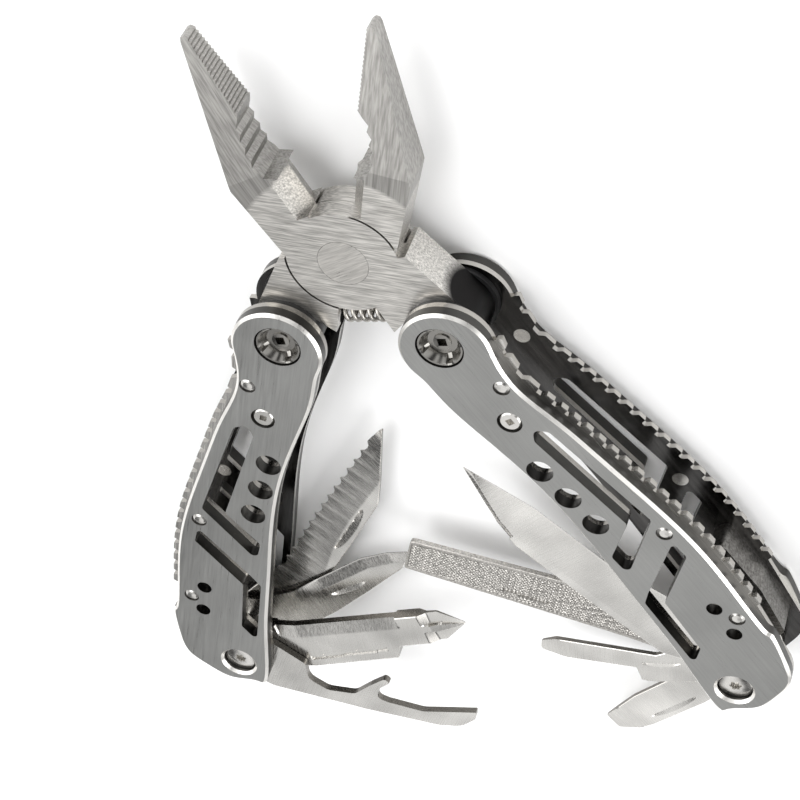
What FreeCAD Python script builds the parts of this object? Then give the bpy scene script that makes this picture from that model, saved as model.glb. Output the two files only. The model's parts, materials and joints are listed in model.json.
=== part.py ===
import FreeCAD, Part
import math
import os
import Sketcher
from FreeCAD import Placement, Rotation, Vector

# Folding pliers with two tool handles, lying flat on the rear handle plates.
# Frame: millimetres, +Z up, +Y along the nose of the pliers, origin under the
# middle of the box at floor height.  Each jaw is drawn closed with its pivot at
# (0, 0); each handle is drawn with its jaw pivot at (0, 0) and its tool bolt on
# +X, its toothed outer edge towards +Y; each tool is drawn with its bolt at
# (0, 0), its tip on +X and the side it opens towards on +Y.  Left-hand pieces
# are drawn mirrored, which a side of -1 does to every Y (or a jaw's X).

SIZES = {
    # stack of one handle, from the floor up
    "plate_thick": 2.2,
    "liner_thick": 1.0,
    "layer_gap": 0.13,
    "saw_thick": 0.9,
    "can_thick": 1.0,
    "slim_thick": 1.0,
    "file_thick": 1.1,
    "knife_thick": 1.1,
    "phillips_thick": 2.3,
    "opener_thick": 1.3,
    # handle plan
    "pivot_to_bolt": 86.0,
    "head_radius": 7.9,
    "belly_width": 13.9,
    "neck_width": 6.4,
    "waist_width": 3.1,
    "plate_bevel": 0.5,
    "tooth_pitch": 3.0,
    "tooth_height": 1.5,
    "lightening_radius": 2.3,
    "small_hole_radius": 1.4,
    "rivet_radius": 1.45,
    "stop_screw_radius": 2.1,
    "running_clearance": 0.05,
    # handle pivot and tool bolt
    "pivot_head_radius": 4.0,
    "pivot_barrel_radius": 2.6,
    "pivot_shank_radius": 1.6,
    "bolt_head_radius": 3.1,
    "bolt_barrel_radius": 2.4,
    "bolt_shank_radius": 1.4,
    "head_sink": 0.25,
    "tang_washer_thick": 1.0,
    "tang_washer_radius": 6.6,
    # pliers
    "jaw_disc_radius": 9.6,
    "jaw_clearance": 0.35,
    "face_gap": 0.15,
    "plier_pin_radius": 4.25,
    "jaw_to_handle": 19.9,
    "tang_half_angle": 26.25,
    "tang_boss_radius": 5.9,
    "web_start_angle": 103.0,
    "nose_root_angle": 57.0,
    "nose_length": 44.4,
    "nose_tip_width": 1.7,
    "nose_base_width": 9.6,
    "nose_tip_thick": 3.0,
    "nose_shoulder": 18.6,
    "cutter_depth": 2.4,
    "grip_depth": 3.1,
    "grip_start": 18.8,
    "grip_end": 30.0,
    "grip_teeth": 5,
    "fine_teeth": 18,
    "fine_tooth_depth": 0.3,
    "spring_radius": 2.1,
    "spring_wire": 0.6,
    "spring_offset": 13.4,
    "spring_pocket": 3.2,
    # tools
    "tool_base_radius": 6.4,
    "tool_washer_radius": 5.0,
    "spacer_radius": 2.8,
    "saw_teeth": 14,
    "scallop_depth": 0.8,
    # pose at rest, degrees
    "jaw_opening": 38.1,
    "handle_splay": 23.3,
    "right_fold": 2.65,
    "opener_open": 87.0,
    "phillips_open": 59.0,
    "can_open": 38.0,
    "saw_open": 19.0,
    "knife_open": 18.35,
    "file_open": 43.35,
    "slim_open": 69.35,
    "scraper_open": 105.35,
}

doc = FreeCAD.newDocument("FoldingPliers")
sheet = doc.addObject("Spreadsheet::Sheet", "Sizes")
for row, (alias, number) in enumerate(SIZES.items(), start=1):
    sheet.set(f"A{row}", alias.replace("_", " "))
    sheet.set(f"B{row}", str(number))
    sheet.setAlias(f"B{row}", alias)
doc.recompute()


def size(alias):
    """The number in a sheet's cell."""
    return float(sheet.get(alias))


def total(*aliases):
    """An expression that adds up cells of the sheet."""
    return " + ".join(f"Sizes.{alias}" for alias in aliases) or "0"


# ---------------------------------------------------------------- stack heights
GAP = "layer_gap"
PLATE_TOP = ["plate_thick"]
CHANNEL = PLATE_TOP + ["liner_thick"]
LAYER_SAW = CHANNEL + [GAP]
LAYER_CAN = LAYER_SAW + ["saw_thick", GAP]
LAYER_SLIM = LAYER_CAN + ["can_thick", GAP]
LAYER_FILE = LAYER_SLIM + ["slim_thick", GAP]
LAYER_KNIFE = LAYER_FILE + ["file_thick", GAP]
LAYER_PHILLIPS = LAYER_KNIFE + ["knife_thick", GAP]
LAYER_OPENER = LAYER_PHILLIPS + ["phillips_thick", GAP]
CHANNEL_TOP = LAYER_OPENER + ["opener_thick", GAP]
FRONT_PLATE = CHANNEL_TOP + ["liner_thick"]
TOP = FRONT_PLATE + ["plate_thick"]


def height(aliases):
    """Sum of a stack in millimetres."""
    return sum(size(alias) for alias in aliases)


CHANNEL_DEPTH = height(CHANNEL_TOP) - height(CHANNEL)
JAW_BOTTOM = CHANNEL + ["tang_washer_thick"]
JAW_THICK = CHANNEL_DEPTH - 2 * size("tang_washer_thick")
JAW_MIDDLE = height(JAW_BOTTOM) + JAW_THICK / 2

LENGTH = size("pivot_to_bolt")
CLEAR = size("running_clearance")


# ---------------------------------------------------------------- drawing helpers
def contour(corners, side=1):
    """Closed outline through (x, y) or (x, y, radius) corners, with tangent arcs
    at the corners that have a radius; side -1 mirrors it across the X axis."""
    spots = [Vector(c[0], side * c[1], 0) for c in corners]
    radii = [c[2] if len(c) > 2 else 0 for c in corners]
    count = len(spots)
    starts, ends, arcs = [], [], []
    for i, spot in enumerate(spots):
        back = (spots[i - 1] - spot)
        ahead = (spots[(i + 1) % count] - spot)
        if not radii[i]:
            starts.append(spot)
            ends.append(spot)
            arcs.append(None)
            continue
        turn = back.getAngle(ahead) / 2
        reach = min(radii[i] / math.tan(turn), 0.45 * back.Length, 0.45 * ahead.Length)
        radius = reach * math.tan(turn)
        back.normalize()
        ahead.normalize()
        first, last = spot + back * reach, spot + ahead * reach
        middle = (back + ahead).normalize() * (radius / math.sin(turn) - radius)
        arcs.append(Part.Arc(first, spot + middle, last))
        starts.append(first)
        ends.append(last)
    pieces = []
    for i in range(count):
        if arcs[i]:
            pieces.append(arcs[i])
        following = starts[(i + 1) % count]
        if (following - ends[i]).Length > 1e-6:
            pieces.append(Part.LineSegment(ends[i], following))
    return pieces


def new_body(label):
    body = doc.addObject("PartDesign::Body", label)
    body.Label = label
    return body


def new_sketch(body, floor, role="XY_Plane"):
    """Sketch on one of the body's own planes, lifted by the expression floor."""
    sketch = body.newObject("Sketcher::SketchObject", body.Label + "_sketch")
    plane = [f for f in body.Origin.OriginFeatures if f.Role == role][0]
    sketch.AttachmentSupport = (plane, [""])
    sketch.MapMode = "FlatFace"
    sketch.setExpression("AttachmentOffset.Base.z", floor)
    return sketch


def add_circle(sketch, x, y, radius):
    """Circle at (x, y) whose radius is bound to an expression."""
    index = sketch.addGeometry(Part.Circle(Vector(x, y, 0), Vector(0, 0, 1), 1.0))
    row = sketch.addConstraint(Sketcher.Constraint("Radius", index, 1.0))
    sketch.setExpression(f"Constraints[{row}]", radius)
    return index


def extrude(body, kind, sketch, length, reverse=False, midplane=False):
    """Pad or Pocket a sketch by the expression length."""
    feature = body.newObject(f"PartDesign::{kind}", body.Label + "_" + kind.lower())
    feature.Profile = sketch
    if midplane:
        feature.SideType = "Symmetric"
    feature.Reversed = reverse
    feature.setExpression("Length", length)
    doc.recompute([sketch, feature])
    return feature


def pad(body, pieces, floor, length):
    sketch = new_sketch(body, floor)
    sketch.addGeometry(pieces)
    return extrude(body, "Pad", sketch, length)


def pad_disc(body, radius, floor, length, x=0.0, y=0.0):
    sketch = new_sketch(body, floor)
    add_circle(sketch, x, y, radius)
    return extrude(body, "Pad", sketch, length)


def cut_upwards(body, pieces, floor, length):
    """Pocket that starts at floor and removes material above it."""
    sketch = new_sketch(body, floor)
    sketch.addGeometry(pieces)
    return extrude(body, "Pocket", sketch, length, reverse=True)


def cut_disc(body, radius, floor, length, spots=((0.0, 0.0),)):
    sketch = new_sketch(body, floor)
    for x, y in spots:
        add_circle(sketch, x, y, radius)
    return extrude(body, "Pocket", sketch, length, reverse=True)


def chamfer_outline(body, level, width, inside=()):
    """Chamfer the outer rim of the flat face at a height, plus the rims of holes
    centred on the inside spots."""
    base = body.Tip
    shape = base.Shape
    face = max((f for f in shape.Faces
                if abs(f.BoundBox.ZMin - level) < 1e-4 and abs(f.BoundBox.ZMax - level) < 1e-4),
               key=lambda f: f.Area)
    rims = list(face.OuterWire.Edges)
    for wire in face.Wires:
        if any((wire.BoundBox.Center - Vector(x, y, level)).Length < 0.3 for x, y in inside):
            rims += wire.Edges
    names = [f"Edge{i}" for i, edge in enumerate(shape.Edges, start=1)
             if any(edge.isSame(rim) for rim in rims)]
    feature = body.newObject("PartDesign::Chamfer", body.Label + "_chamfer")
    feature.Base = (base, names)
    feature.setExpression("Size", width)
    doc.recompute([feature])
    return feature


def ring(label, outer, inner, floor, length):
    """Flat ring round the Z axis as a body of its own."""
    body = new_body(label)
    pad_disc(body, outer, floor, length)
    cut_disc(body, inner, floor, length)
    return body


def group(label, members):
    """Several separate solids kept in one node."""
    compound = doc.addObject("Part::Compound", label)
    compound.Label = label
    compound.Links = members
    return compound


def turned(label, stations, cuts=()):
    """Solid of revolution about Z through (radius, height) stations."""
    body = new_body(label)
    sketch = new_sketch(body, "0", "XZ_Plane")
    spots = [Vector(r, z, 0) for r, z in stations]
    sketch.addGeometry([Part.LineSegment(a, b) for a, b in zip(spots, spots[1:] + spots[:1])])
    feature = body.newObject("PartDesign::Revolution", label + "_turned")
    feature.Profile = sketch
    feature.ReferenceAxis = (sketch, ["V_Axis"])
    feature.Angle = 360
    doc.recompute([sketch, feature])
    for pieces, floor, depth in cuts:
        cut_upwards(body, pieces, floor, depth)
    return body


NODES = {}          # label -> (object, placement)


def place(obj, spot, degrees):
    NODES[obj.Label] = (obj, Placement(spot, Rotation(Vector(0, 0, 1), degrees)))


# ---------------------------------------------------------------- handle outline
def outer_edge():
    """Outer edge of a plate, from the head over the belly to the bolt end."""
    head = size("head_radius")
    neck, belly = size("neck_width"), size("belly_width")
    stations = ((0.14, neck), (0.24, neck + 0.14 * belly), (0.36, 0.75 * belly),
                (0.54, 0.945 * belly), (0.73, belly), (0.88, 0.975 * belly))
    lift = math.radians(72)
    spots = [Vector(head * math.cos(lift) + 1.2, head * math.sin(lift) + 0.2, 0)]
    spots += [Vector(f * LENGTH, y, 0) for f, y in stations]
    spots.append(Vector(LENGTH - 1.8, 0.873 * belly, 0))
    curve = Part.BSplineCurve()
    curve.interpolate(Points=spots, InitialTangent=Vector(math.sin(lift), -math.cos(lift), 0) * 8,
                      FinalTangent=Vector(8, -2.2, 0))
    return curve


def inner_edge():
    """Inner edge of a plate, from the bolt end back to the head."""
    waist, head = size("waist_width"), size("head_radius")
    stations = ((0.87, 1.5), (0.70, 0.7), (0.53, 0.0), (0.38, 0.3), (0.22, 2.5), (0.10, 4.0))
    drop = math.radians(-76)
    spots = [Vector(LENGTH, -waist - 2.7, 0)]
    spots += [Vector(f * LENGTH, -waist - y, 0) for f, y in stations]
    spots.append(Vector(head * math.cos(drop) + 1.2, head * math.sin(drop) + 0.2, 0))
    curve = Part.BSplineCurve()
    curve.interpolate(Points=spots, InitialTangent=Vector(-8, 0.6, 0),
                      FinalTangent=Vector(math.sin(drop), -math.cos(drop), 0) * 8)
    return curve


def mirrored(pieces, side):
    """The same outline, mirrored across the X axis where side is -1."""
    if side == 1:
        return pieces
    flip = FreeCAD.Matrix()
    flip.A22 = -1
    turned_over = []
    for piece in pieces:
        copy = piece.copy()
        if isinstance(piece, Part.LineSegment):
            copy = Part.LineSegment(flip.multVec(piece.StartPoint), flip.multVec(piece.EndPoint))
        elif isinstance(piece, Part.BSplineCurve):
            copy.transform(flip)
        else:
            middle = piece.value((piece.FirstParameter + piece.LastParameter) / 2)
            copy = Part.Arc(flip.multVec(piece.StartPoint), flip.multVec(middle),
                            flip.multVec(piece.EndPoint))
        turned_over.append(copy)
    return turned_over


def bolt_end():
    """Rounded corner, slope and nose round the tool bolt, as one smooth curve."""
    belly, waist = size("belly_width"), size("waist_width")
    spots = [Vector(LENGTH - 1.8, 0.873 * belly, 0), Vector(LENGTH + 2.2, 0.72 * belly, 0),
             Vector(LENGTH + 4.2, 0.46 * belly, 0), Vector(LENGTH + 5.6, 0.5, 0),
             Vector(LENGTH + 4.4, -0.9 * waist - 1.2, 0), Vector(LENGTH, -waist - 2.7, 0)]
    curve = Part.BSplineCurve()
    curve.interpolate(Points=spots, InitialTangent=Vector(8, -2.2, 0),
                      FinalTangent=Vector(-8, 0.6, 0))
    return [curve]


def head_arc():
    head = size("head_radius")
    at = [Vector(head * math.cos(math.radians(a)) + 1.2, head * math.sin(math.radians(a)) + 0.2, 0)
          for a in (-76, -182, 72)]
    return [Part.Arc(*at)]


def toothed_edge():
    """Stepped grip teeth that stand proud of the plate's outer edge."""
    curve = outer_edge()
    pitch, proud = size("tooth_pitch"), size("tooth_height")
    count = int(0.80 * LENGTH / pitch)
    spots = [curve.StartPoint]
    for i in range(count):
        for share, lift in ((0.0, 0.35), (0.12, 1.0), (0.62, 1.0), (0.74, 0.35)):
            x = 0.065 * LENGTH + (i + share) * pitch
            t = curve.parameter(Vector(x, size("belly_width"), 0))
            spots.append(curve.value(t) + Vector(0, lift * proud, 0))
    spots.append(curve.EndPoint)
    return [Part.LineSegment(a, b) for a, b in zip(spots, spots[1:])]


SLOT_LONG = [(20.6, 3.6, 1.3), (22.0, 5.9, 1.3), (45.3, 10.2, 1.0), (54.6, -1.0, 1.0),
             (50.0, -1.3, 1.0), (44.6, 5.8, 1.0), (22.8, 2.3, 1.3)]
SLOT_HOOK = [(51.0, 10.6, 0.7), (54.7, 10.9, 0.7), (62.7, 1.0, 0.9), (74.8, 0.3, 0.7),
             (77.6, -2.9, 0.7), (61.6, -2.4, 0.9), (59.7, -0.4, 0.9)]
LIGHTENING = ((28.7, -0.94), (35.6, -0.09), (42.5, 0.71))
RIVETS = ((11.1, 4.3), (48.7, 10.46), (70.6, 10.55))
THROUGH_HOLES = ((67.1, 8.24), (73.6, 8.04))
STOP_SCREW = (17.7, 1.0)


def from_bolt(spot):
    """Places in the bolt half of a plate keep their distance from the bolt."""
    x, *rest = spot
    return (x if x < 43 else x + LENGTH - 86.0, *rest)


def shifted(spots, side):
    return [(from_bolt(s)[0], side * s[1]) for s in spots]


def cut_openings(body, side, floor, length):
    """The two slots, the three round holes and the small holes."""
    for slot in (SLOT_LONG, SLOT_HOOK):
        cut_upwards(body, contour([from_bolt(c) for c in slot], side), floor, length)
    cut_disc(body, "Sizes.lightening_radius", floor, length, shifted(LIGHTENING, side))
    cut_disc(body, "Sizes.small_hole_radius", floor, length, shifted(THROUGH_HOLES, side))


def build_plate(label, side, front):
    """Outer handle plate with a bevelled rim, dished at the pivot and the bolt."""
    floor = total(*FRONT_PLATE) if front else "0"
    outline = [outer_edge(), *bolt_end(), inner_edge(), *head_arc()]
    body = new_body(label)
    pad(body, mirrored(outline, side), floor, "Sizes.plate_thick")
    cut_openings(body, side, floor, "Sizes.plate_thick")
    cut_disc(body, "Sizes.rivet_radius", floor, "Sizes.plate_thick", shifted(RIVETS, side))
    cut_disc(body, "Sizes.stop_screw_radius + Sizes.running_clearance", floor, "Sizes.plate_thick",
             shifted([STOP_SCREW], side))
    cut_disc(body, "Sizes.pivot_head_radius + Sizes.running_clearance", floor, "Sizes.plate_thick")
    cut_disc(body, "Sizes.bolt_head_radius + Sizes.running_clearance", floor, "Sizes.plate_thick",
             [(LENGTH, 0)])
    level = height(TOP) if front else 0.0
    chamfer_outline(body, level, "Sizes.plate_bevel", [(LENGTH, 0)])
    return body


def build_liner(label, side, front):
    """Thin liner with grip teeth along its outer edge."""
    floor = total(*CHANNEL_TOP) if front else total(*PLATE_TOP)
    outline = [*toothed_edge(), *bolt_end(), inner_edge(), *head_arc()]
    body = new_body(label)
    pad(body, mirrored(outline, side), floor, "Sizes.liner_thick")
    cut_openings(body, side, floor, "Sizes.liner_thick")
    cut_disc(body, "Sizes.rivet_radius", floor, "Sizes.liner_thick", shifted(RIVETS, side))
    cut_disc(body, "Sizes.bolt_barrel_radius + Sizes.running_clearance", floor, "Sizes.liner_thick",
             [(LENGTH, 0)])
    cut_disc(body, "Sizes.pivot_barrel_radius + Sizes.running_clearance", floor,
             "Sizes.liner_thick")
    return body


# ---------------------------------------------------------------- fasteners
def square(half):
    return contour([(-half, -half), (half, -half), (half, half), (-half, half)])


def build_pivot_screw(label):
    """Dished head in the front plate, shank down through the barrel."""
    top, base = height(TOP) - size("head_sink"), height(FRONT_PLATE)
    rim, shank = size("pivot_head_radius"), size("pivot_shank_radius")
    stations = [(0, 2.1), (shank, 2.1), (shank, base), (rim, base), (rim, top),
                (rim - 0.35, top), (0.66 * rim, top - 1.25), (0, top - 1.25)]
    key = square(0.9)
    return turned(label, stations, [(key, "0", total(*TOP))])


def build_pivot_nut(label):
    """Dished head in the rear plate with the barrel that the tang turns on."""
    sink, base = size("head_sink"), height(PLATE_TOP)
    rim, barrel = size("pivot_head_radius"), size("pivot_barrel_radius")
    bore, top = size("pivot_shank_radius") + CLEAR, height(FRONT_PLATE) - CLEAR
    stations = [(0, 1.5), (0.66 * rim, 1.5), (rim - 0.35, sink), (rim, sink), (rim, base),
                (barrel, base), (barrel, top), (bore, top), (bore, 2.0), (0, 2.0)]
    body = turned(label, stations, [(square(0.9), "0", total(*TOP))])
    return body


def build_tool_bolt(label):
    """Flat polished head in the front recess, shank through the barrel."""
    base, top = height(FRONT_PLATE), height(FRONT_PLATE) + 1.2
    head, shank = size("bolt_head_radius"), size("bolt_shank_radius")
    stations = [(0, 3.0), (shank, 3.0), (shank, base), (head, base), (head, top - 0.2),
                (head - 0.2, top), (0, top)]
    star = [Part.Circle(Vector(0, 0, 0), Vector(0, 0, 1), 0.75)]
    return turned(label, stations, [(star, f"{base - 0.6:.3f}", "3")])


def build_tool_nut(label):
    """Flat head in the rear recess with the barrel that the tools turn on."""
    base = height(PLATE_TOP)
    head, barrel = size("bolt_head_radius"), size("bolt_barrel_radius")
    bore, top = size("bolt_shank_radius") + CLEAR, height(FRONT_PLATE) - CLEAR
    stations = [(0, base - 1.2), (head - 0.2, base - 1.2), (head, base - 1.0), (head, base),
                (barrel, base), (barrel, top), (bore, top), (bore, 2.6), (0, 2.6)]
    return turned(label, stations)


def build_rivets(label, side):
    """Three rivets through each plate and liner, domed outside and flush inside."""
    radius = size("rivet_radius") - CLEAR
    members = []
    for index, (x, y) in enumerate(shifted(RIVETS, side)):
        for face, low, high in (("rear", 0.0, height(CHANNEL)),
                                ("front", height(CHANNEL_TOP), height(TOP))):
            dome = 0.25
            if face == "front":
                stations = [(0, low), (radius, low), (radius, high - dome), (0.6 * radius, high - 0.05),
                            (0, high)]
            else:
                stations = [(0, low), (0.6 * radius, low + 0.05), (radius, low + dome),
                            (radius, high), (0, high)]
            rivet = turned(f"{label}_{face}_{index + 1}", stations)
            rivet.Placement.Base = Vector(x, y, 0)
            members.append(rivet)
    return group(label, members)


def build_stop_screws(label, side):
    """Button-head screws near the head, one in each plate, seated on the liner."""
    radius = size("stop_screw_radius")
    (x, y), = shifted([STOP_SCREW], side)
    socket = square(0.6)
    front = turned(label + "_front",
                   [(0, height(FRONT_PLATE)), (radius, height(FRONT_PLATE)),
                    (radius, height(TOP) - 0.55), (radius - 0.5, height(TOP) - 0.15),
                    (0, height(TOP) - 0.15)],
                   [(socket, f"{height(TOP) - 1.2:.3f}", "2")])
    rear = turned(label + "_rear",
                  [(0, 0.15), (radius - 0.5, 0.15), (radius, 0.55), (radius, height(PLATE_TOP)),
                   (0, height(PLATE_TOP))],
                  [(socket, "0", "1.2")])
    for screw in (front, rear):
        screw.Placement.Base = Vector(x, y, 0)
    return group(label, [front, rear])


def build_back_spring(label, side):
    """Bar on the rear liner behind the tools, as high as the tools it presses on."""
    top = CHANNEL_TOP if side == -1 else LAYER_KNIFE + ["knife_thick"]
    body = new_body(label)
    corners = [(60.5, 9.2, 1.0), (78.5, 7.9, 1.2), (83.2, 8.9, 1.0), (82.4, 11.2, 1.0),
               (72.0, 12.9, 2.0), (60.5, 12.7, 1.0)]
    pad(body, contour([from_bolt(c) for c in corners], side), total(*CHANNEL),
        f"{total(*top)} - ({total(*CHANNEL)})")
    return body


# ---------------------------------------------------------------- pliers
def tangent_corner(centre, radius, spot, sense):
    """Point where the tangent from spot touches a circle; sense +1 or -1 picks it."""
    reach = (centre - spot).Length
    swing = sense * math.acos(radius / reach)
    base = math.atan2(spot.y - centre.y, spot.x - centre.x)
    return centre + Vector(math.cos(base + swing), math.sin(base + swing), 0) * radius


def jaw_tang(side):
    """Tang outline: from the disc along the middle, round the boss and back."""
    gap, disc = size("face_gap"), size("jaw_disc_radius")
    boss_radius = size("tang_boss_radius")
    lean = math.radians(size("tang_half_angle"))
    reach = size("jaw_to_handle")
    boss = Vector(-reach * math.sin(lean), -reach * math.cos(lean), 0)
    inner_start = Vector(-gap, -0.76 * reach, 0)
    inner_touch = tangent_corner(boss, boss_radius, inner_start, 1)
    direction = math.atan2(boss.y, boss.x)
    splay = math.acos((disc - boss_radius) / reach)
    normal = direction - splay
    out = Vector(math.cos(normal), math.sin(normal), 0)
    outer_touch = boss + out * boss_radius
    web_angle = math.radians(90 + size("web_start_angle"))
    web = Vector(math.cos(web_angle), math.sin(web_angle), 0) * (disc / math.cos(web_angle - normal))
    low = boss + (boss * (1 / reach)) * boss_radius
    pieces = [Part.LineSegment(Vector(-gap, 0, 0), inner_start),
              Part.LineSegment(inner_start, inner_touch),
              Part.Arc(inner_touch, low, outer_touch),
              Part.LineSegment(outer_touch, web),
              Part.LineSegment(web, Vector(-gap, 0, 0))]
    return flipped(pieces, side), Vector(side * boss.x, boss.y, 0)


def flipped(pieces, side):
    """The same outline, mirrored across the Y axis where side is -1."""
    if side == 1:
        return pieces
    turned_over = []
    for piece in pieces:
        ends = [Vector(-p.x, p.y, 0) for p in (piece.StartPoint, piece.EndPoint)]
        if isinstance(piece, Part.LineSegment):
            turned_over.append(Part.LineSegment(*ends))
        else:
            middle = piece.value((piece.FirstParameter + piece.LastParameter) / 2)
            turned_over.append(Part.Arc(ends[0], Vector(-middle.x, middle.y, 0), ends[1]))
    return turned_over


def jaw_nose(side):
    """Nose outline: cutter, toothed pipe grip, fine teeth, tip and outer edge."""
    gap, disc, length = size("face_gap"), size("jaw_disc_radius"), size("nose_length")
    start, end, deep = size("grip_start"), size("grip_end"), size("grip_depth")
    spots = [(gap, 0.0), (gap, start - 1.2), (gap + 0.85 * deep, start)]
    teeth = int(size("grip_teeth"))
    for i in range(teeth):
        for share, dip in ((0.5, 0.55), (1.0, 0.0)):
            at = (i + share) / teeth
            bow = deep * math.sqrt(max(0.0, 1 - (at ** 2))) * 1.0
            spots.append((gap + max(bow - dip, 0.25 if at < 1 else 0.0) + 0.35 * (1 - at),
                          start + at * (end - start)))
    fine = int(size("fine_teeth"))
    pitch = (length - 0.6 - end) / fine
    for i in range(fine):
        spots.append((gap + size("fine_tooth_depth"), end + (i + 0.4) * pitch))
        spots.append((gap, end + (i + 1.0) * pitch))
    tip, base = size("nose_tip_width"), size("nose_base_width")
    root, root_angle = 1.06 * disc, math.radians(size("nose_root_angle"))
    spots += [(gap + 0.5, length), (tip - 0.4, length), (tip, length - 0.7),
              (base, size("nose_shoulder")),
              (root * math.sin(root_angle), root * math.cos(root_angle)), (0.6 * disc, 0.0)]
    corners = [Vector(side * x, y, 0) for x, y in spots]
    return [Part.LineSegment(a, b) for a, b in zip(corners, corners[1:] + corners[:1])]


def build_jaw(label, side, front):
    """One jaw: half-lapped disc, nose on its own side and tang on the other."""
    body = new_body(label)
    floor, thick = f"{total(*JAW_BOTTOM)}", f"{JAW_THICK:.4f}"
    outline, boss = jaw_tang(side)
    pad_disc(body, "Sizes.jaw_disc_radius", floor, thick)
    pad(body, outline, floor, thick)
    pad(body, jaw_nose(side), floor, thick)
    lap = JAW_THICK / 2 + CLEAR
    lap_floor = height(JAW_BOTTOM) - 1.0 if front else JAW_MIDDLE - CLEAR
    cut_disc(body, "Sizes.jaw_disc_radius + Sizes.jaw_clearance", f"{lap_floor:.4f}",
             f"{lap + 1.0:.4f}")
    cut_disc(body, "Sizes.plier_pin_radius + Sizes.running_clearance", "0", total(*TOP))
    cut_disc(body, "Sizes.pivot_barrel_radius + Sizes.running_clearance", "0", total(*TOP),
             [(boss.x, boss.y)])
    taper_nose(body, side)
    bevel_cutter(body, side, front)
    drill_spring_pocket(body, side)
    return body


def taper_nose(body, side):
    """Thin the nose towards its tip on both faces."""
    low, high = height(JAW_BOTTOM), height(JAW_BOTTOM) + JAW_THICK
    shoulder, tip = size("nose_shoulder") + 1.0, size("nose_length") + 1.0
    cut = (JAW_THICK - size("nose_tip_thick")) / 2
    for face, inward in ((high, -1), (low, 1)):
        sketch = new_sketch(body, "0", "YZ_Plane")
        spots = [Vector(shoulder, face, 0), Vector(tip, face + inward * cut, 0),
                 Vector(tip, face - inward, 0), Vector(shoulder, face - inward, 0)]
        sketch.addGeometry([Part.LineSegment(a, b) for a, b in zip(spots, spots[1:] + spots[:1])])
        extrude(body, "Pocket", sketch, "40", midplane=True)


def bevel_cutter(body, side, front):
    """Slope the cutter's faces down to an edge at mid thickness."""
    low, high = height(JAW_BOTTOM), height(JAW_BOTTOM) + JAW_THICK
    gap, deep = size("face_gap"), size("cutter_depth")
    first, last = size("jaw_disc_radius") + size("jaw_clearance"), size("grip_start") - 1.0
    for face, inward in ((high, -1), (low, 1)):
        spots = [Vector(side * (gap - 0.4), JAW_MIDDLE - inward * 0.15, 0),
                 Vector(side * gap, JAW_MIDDLE - inward * 0.15, 0),
                 Vector(side * (gap + deep), face - inward * 0.4, 0),
                 Vector(side * (gap - 0.4), face - inward * 0.4, 0)]
        sketch = new_sketch(body, f"{-last:.4f}", "XZ_Plane")
        sketch.addGeometry([Part.LineSegment(a, b) for a, b in zip(spots, spots[1:] + spots[:1])])
        extrude(body, "Pocket", sketch, f"{last - first:.4f}", reverse=True)


def drill_spring_pocket(body, side):
    """Blind pocket in the tang's inner face for one end of the return spring."""
    sketch = new_sketch(body, "0", "YZ_Plane")
    add_circle(sketch, -size("spring_offset"), JAW_MIDDLE,
               "Sizes.spring_radius + 4 * Sizes.running_clearance")
    extrude(body, "Pocket", sketch, "Sizes.spring_pocket + Sizes.face_gap", reverse=(side == -1))


def build_spring(label):
    """Plain tube in the room that the coiled return spring takes at rest."""
    tube = doc.addObject("Part::Cylinder", label + "_outside")
    bore = doc.addObject("Part::Cylinder", label + "_inside")
    for cylinder, radius in ((tube, "Sizes.spring_radius"),
                             (bore, "Sizes.spring_radius - Sizes.spring_wire")):
        cylinder.setExpression("Radius", radius)
    half = math.radians(size("jaw_opening")) / 2
    across = 2 * (size("spring_offset") * math.sin(half))
    for cylinder in (tube, bore):
        cylinder.Height = across
        cylinder.Placement = Placement(
            Vector(-across / 2, -size("spring_offset") * math.cos(half), JAW_MIDDLE),
            Rotation(Vector(0, 1, 0), 90))
    spring = doc.addObject("Part::Cut", label)
    spring.Label = label
    spring.Base, spring.Tool = tube, bore
    return spring


# ---------------------------------------------------------------- tools
def saw_edge():
    """Scalloped cutting edge from the tip end back to the base."""
    count, deep = int(size("saw_teeth")), size("scallop_depth")
    spots = []
    for i in range(count):
        for share, dip in ((0.0, 0.0), (0.25, 0.75), (0.5, 1.0), (0.8, 0.75)):
            at = (i + share) / count
            x = 59.0 - at * 42.0
            spots.append((x, -4.4 + 1.3 * at * at + dip * deep))
    return spots


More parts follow.
